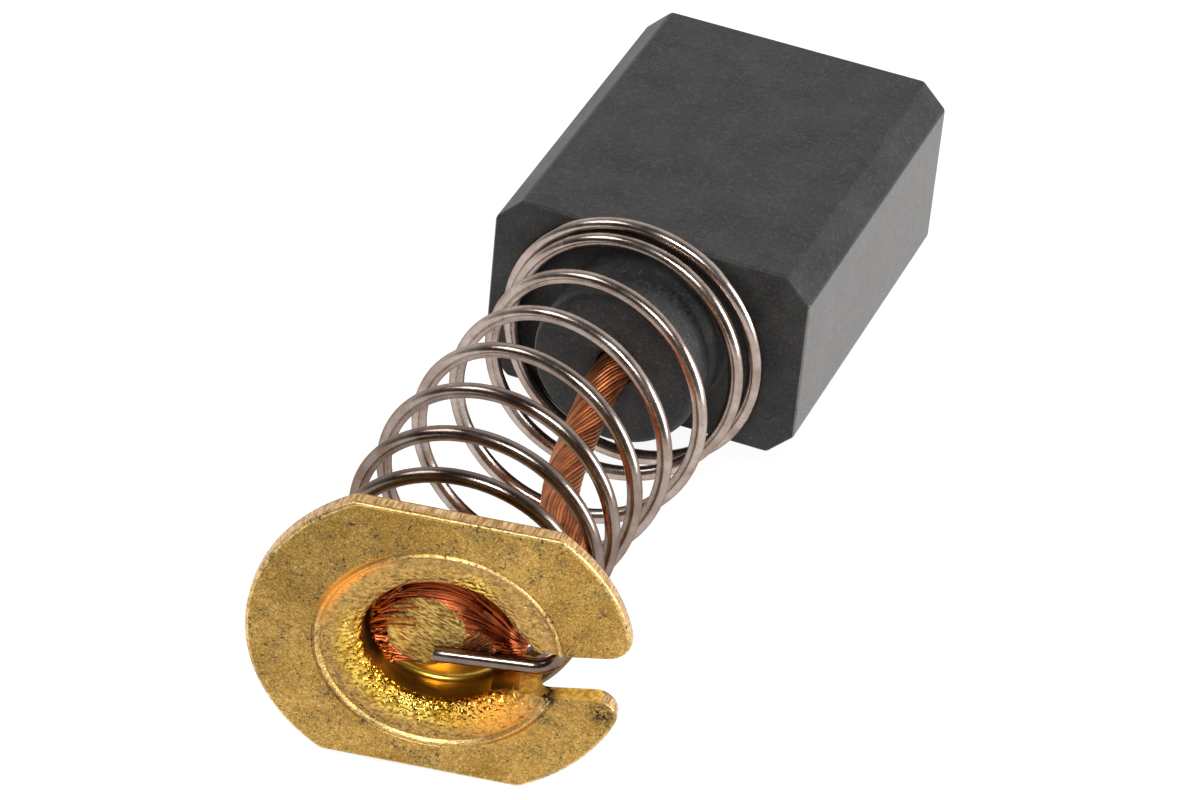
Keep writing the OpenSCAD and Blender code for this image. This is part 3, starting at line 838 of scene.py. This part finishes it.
def pigtail():
    steps = 6
    places = curve_through([[*p, w, h] for p, w, h in lead_route], steps)
    path, width, thick = places[:, :3], places[:, 3], places[:, 4]
    seam = 11 * steps          # where the lead starts to ride with the cap
    strands, strand_r, lay, core = 30, 0.058, 9.0, 0.86
    lengths = np.concatenate([[0], np.cumsum(np.linalg.norm(np.diff(path, axis=0), axis=1))])
    made = {}
    for name, body, i0, i1 in (("lead_free", "brush", steps + 2, seam),
                               ("lead_end", "cap", seam, len(path) - 1)):
        run = slice(i0, i1 + 1)
        parts = [tube(path[run], width[run] / 2 * core, thick[run] / 2 * core, UP, 16)]
        for s in range(strands):
            line = []
            for i in range(i0, i1 + 1):
                along = unit(path[min(i + 1, len(path) - 1)] - path[i - 1])
                a = unit(UP - UP.dot(along) * along)
                b = np.cross(along, a)
                twist = TURN * (s / strands + lengths[min(i, seam + 2 * steps)] / lay)
                line.append(path[i] + (width[i] / 2 - strand_r) * math.cos(twist) * a
                            + (thick[i] / 2 - strand_r) * math.sin(twist) * b)
            if name == "lead_end":
                line = line[:3 * steps]
            parts.append(tube(line, strand_r, strand_r, UP, 6))
        verts, faces = join(parts)
        made[name] = piece(name, verts, faces, body, [LEAD], sharp=70)
    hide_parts("pigtail")
    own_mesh(made["lead_free"])


# The outermost strands of the fan, (across, up), from the slot to the far side of the cup
FAN_TOP = ((2.35, -0.30), (2.05, 0.10), (1.62, 0.62), (1.05, 1.12), (0.35, 1.50), (-0.45, 1.58),
           (-1.15, 1.30), (-1.62, 0.90))
FAN_LOW = ((2.35, -0.78), (2.02, -0.88), (1.50, -0.98), (0.95, -1.16), (0.25, -1.42), (-0.50, -1.62),
           (-1.12, -1.66), (-1.42, -1.62))
STRAND_TOP = CUP_DEPTH - WELD_GAP - WELD_T


def strand_fan():
    """Fine strands that spread from the slot over the cup's floor."""
    count, layers, strand_r = 62, 3, 0.03
    low, top = np.array(FAN_LOW), np.array(FAN_TOP)
    parts = []
    for layer in range(layers):
        for j in range(count):
            f = (j + 0.5 * layer + random.uniform(-0.4, 0.4)) / (count - 0.5)
            f = min(1, max(0, f))
            knots = low + (top - low) * f
            knots[:, 0] -= 4 * f * (1 - f) * np.array([0, 0, 0, 0, 0, 0.1, 0.28, 0.48])
            knots[-1] += (random.uniform(-0.05, 0.28), random.uniform(-0.16, 0.08))
            knots[-2] += (random.uniform(-0.05, 0.05), random.uniform(-0.05, 0.05))
            sink = [0.42, 0.12, 0.03, 0.01, 0, 0, 0.0, random.uniform(-0.07, 0.1)]
            wave, swing = random.uniform(0, TURN), random.uniform(0.006, 0.022)
            lift = 0.045 * layer + random.uniform(-0.02, 0.02)
            route = curve_through(np.column_stack([knots, sink]), 5)
            if layer == 2:     # over the pressed places: odd ones from the slot, even ones to the far wall
                lift = 0.13 + random.uniform(-0.02, 0.03)
                if j % 2:
                    cut = round(random.uniform(13, 20))
                    if 0.1 < f < 0.6:
                        cut = round(random.uniform(8, 11))
                    route = route[:cut]
                else:
                    route = route[round(random.uniform(30 if f < 0.45 else 26, 32)):]
            line = []
            for k, (u, v, d) in enumerate(route):
                jig = swing * math.sin(wave + 0.8 * k)
                line.append(on_cap(u, STRAND_TOP + d - lift + 0.4 * jig, v + jig))
            parts.append(tube(line, strand_r, strand_r, UP, 5))
    verts, faces = join(parts)
    fan = piece("lead_strands", verts, faces, "cap", [COPPER], sharp=70)


def strand_shade_sheet():
    """Lower strands as one dark sheet under the fan, down to the cup's floor: painted shade that closes the
    gaps between the strands.
    """
    low, top = np.array(FAN_LOW[1:]), np.array(FAN_TOP[1:])
    outline = [*low, np.array([-1.86, -1.0]), np.array([-1.98, -0.4]), np.array([-1.92, 0.3]), *top[::-1]]
    outline = curve_through([*outline, outline[0]], 5)[:-1]
    n = len(outline)
    verts = [on_cap(u, d, v) for d in (STRAND_TOP + 0.02, CUP_DEPTH - 0.005) for u, v in outline]
    faces = [tuple(range(n)), tuple(range(n, 2 * n))[::-1]]
    faces += [(i, (i + 1) % n, n + (i + 1) % n, n + i) for i in range(n)]
    shade_sheet = piece("lead_painted_shade_sheet", verts, faces, "cap", [COPPER_PAINTED_SHADE], sharp=30)


def pressed_spot(name, at, half, tilt, lift, material, ragged):
    """A place where the strands are pressed flat: a low, rough-edged mound."""
    rings, around = 14, 144
    c, s = math.cos(tilt), math.sin(tilt)
    verts = [on_cap(at[0], STRAND_TOP - lift, at[1])]
    for k in range(1, rings + 1):
        f = k / rings
        for j in range(around):
            a = TURN * j / around
            frayed = abs(math.cos(a)) * (0.5 * math.sin(31 * a) + 0.4 * math.sin(47 * a + 1)) * f**3
            wob = 1 + ragged * (0.8 * math.sin(3 * a + 1) + 0.5 * math.sin(5 * a + 2) + frayed)
            x, y = half[0] * f * wob * math.cos(a), half[1] * f * wob * math.sin(a)
            d = STRAND_TOP - lift + (lift + 0.03) * smooth((f - 0.8) / 0.2)
            verts.append(on_cap(at[0] + c * x - s * y, d, at[1] + s * x + c * y))
    faces = [(0, 1 + j, 1 + (j + 1) % around) for j in range(around)]
    for k in range(rings - 1):
        for j in range(around):
            a, b = 1 + k * around + j, 1 + k * around + (j + 1) % around
            faces.append((a, b, b + around, a + around))
    faces.append(tuple(1 + (rings - 1) * around + j for j in range(around)))
    spot = piece(name, verts, faces, "cap", [material], sharp=50)


pigtail()
strand_shade_sheet()
strand_fan()
pressed_spot("lead_weld", (-0.50, -0.33), (1.28, 1.34), tilt=0.1, lift=0.115, material=WELD, ragged=0.05)
pressed_spot("lead_weld_low", (1.02, -0.50), (0.5, 0.45), tilt=-0.5, lift=0.10, material=PRESSED, ragged=0.12)

# ------------------------------------------------------------------ stage


DARK_SIDE = 0.06    # brightness of the studio's unlit side, as the metal reflects it
DARK_TOWARDS = unit(np.array([-0.12, -0.78, 0.60]))
ROOM_LIGHT = 0.62   # brightness of the studio, as it lights the object
FLOOR_GLOW, FLOOR_GLOW_SHARE = 1.1, 0.8


def floor_material():
    """Pale floor whose shadows stay faint to the camera and in reflections."""
    n = Nodes("pale_floor")
    n.finish((0.92, 0.92, 0.92, 1), 0.9)
    n.shader.inputs["Specular IOR Level"].default_value = 0.1
    glow = n.tree.nodes.new("ShaderNodeEmission")
    glow.inputs["Strength"].default_value = FLOOR_GLOW
    path = n.tree.nodes.new("ShaderNodeLightPath")
    seen = n.math("MAXIMUM", path.outputs["Is Camera Ray"], path.outputs["Is Glossy Ray"])
    mix = n.tree.nodes.new("ShaderNodeMixShader")
    n.link(n.math("MULTIPLY", seen, FLOOR_GLOW_SHARE), mix.inputs[0])
    n.link(n.shader.outputs[0], mix.inputs[1])
    n.link(glow.outputs[0], mix.inputs[2])
    n.link(mix.outputs[0], n.tree.nodes["Material Output"].inputs["Surface"])
    return n.material


def look(direction):
    return Vector(direction).to_track_quat("-Z", "Y").to_euler()


def lay_floor():
    size, z = 1.5, cad_bounds[0][2]
    mesh = bpy.data.meshes.new("floor")
    corners = [(-size, -size, z), (size, -size, z), (size, size, z), (-size, size, z)]
    mesh.from_pydata(corners, [], [(0, 1, 2, 3)])
    obj = bpy.data.objects.new("floor", mesh)
    bpy.context.scene.collection.objects.link(obj)
    mesh.materials.append(floor_material())


def studio():
    """White to the camera, softer as a light, and dark on one side in reflections."""
    world = bpy.data.worlds.new("studio")
    bpy.context.scene.world = world
    world.use_nodes = True
    tree = world.node_tree
    background = tree.nodes["Background"]
    background.inputs["Color"].default_value = (1, 1, 1, 1)
    path = tree.nodes.new("ShaderNodeLightPath")

    def spread(value, low, high, from_low=0.0, from_high=1.0, kind="LINEAR"):
        node = tree.nodes.new("ShaderNodeMapRange")
        node.interpolation_type = kind
        for name, x in (("Value", value), ("From Min", from_low), ("From Max", from_high),
                        ("To Min", low), ("To Max", high)):
            if isinstance(x, bpy.types.NodeSocket):
                tree.links.new(x, node.inputs[name])
            else:
                node.inputs[name].default_value = x
        return node.outputs[0]

    aim = tree.nodes.new("ShaderNodeVectorMath")
    aim.operation = "DOT_PRODUCT"
    tree.links.new(tree.nodes.new("ShaderNodeTexCoord").outputs["Generated"], aim.inputs[0])
    aim.inputs[1].default_value = DARK_TOWARDS
    room = spread(aim.outputs["Value"], 1.0, DARK_SIDE, -0.3, 0.75, "SMOOTHSTEP")
    gloss = spread(path.outputs["Is Glossy Ray"], ROOM_LIGHT, room)
    tree.links.new(spread(path.outputs["Is Camera Ray"], gloss, 1.0), background.inputs["Strength"])


def lamps():
    middle = np.array([0, -0.015, 0])
    for name, at, size, energy in (("key", (0.05, -0.21, 0.22), 0.075, 0.6),
                                   ("fill", (-0.20, -0.10, 0.22), 0.12, 0.25),
                                   ("side", (0.30, 0.02, 0.10), 0.18, 1.1)):
        lamp = bpy.data.lights.new(name, "AREA")
        lamp.shape, lamp.size, lamp.energy = "SQUARE", size, energy
        obj = bpy.data.objects.new(name, lamp)
        bpy.context.scene.collection.objects.link(obj)
        obj.location = at
        obj.rotation_euler = look(middle - np.array(at))


def camera():
    data = bpy.data.cameras.new("camera")
    data.sensor_width, data.lens = 36, 167.85
    data.clip_start, data.clip_end = 0.01, 10
    obj = bpy.data.objects.new("camera", data)
    bpy.context.scene.collection.objects.link(obj)
    obj.location = (0.042454, -0.143891, 0.092891)
    obj.rotation_euler = [math.radians(a) for a in (55.153, -4.706, 21.630)]
    bpy.context.scene.camera = obj


lay_floor()
studio()
lamps()
camera()
bpy.context.scene.view_settings.view_transform = "Standard"
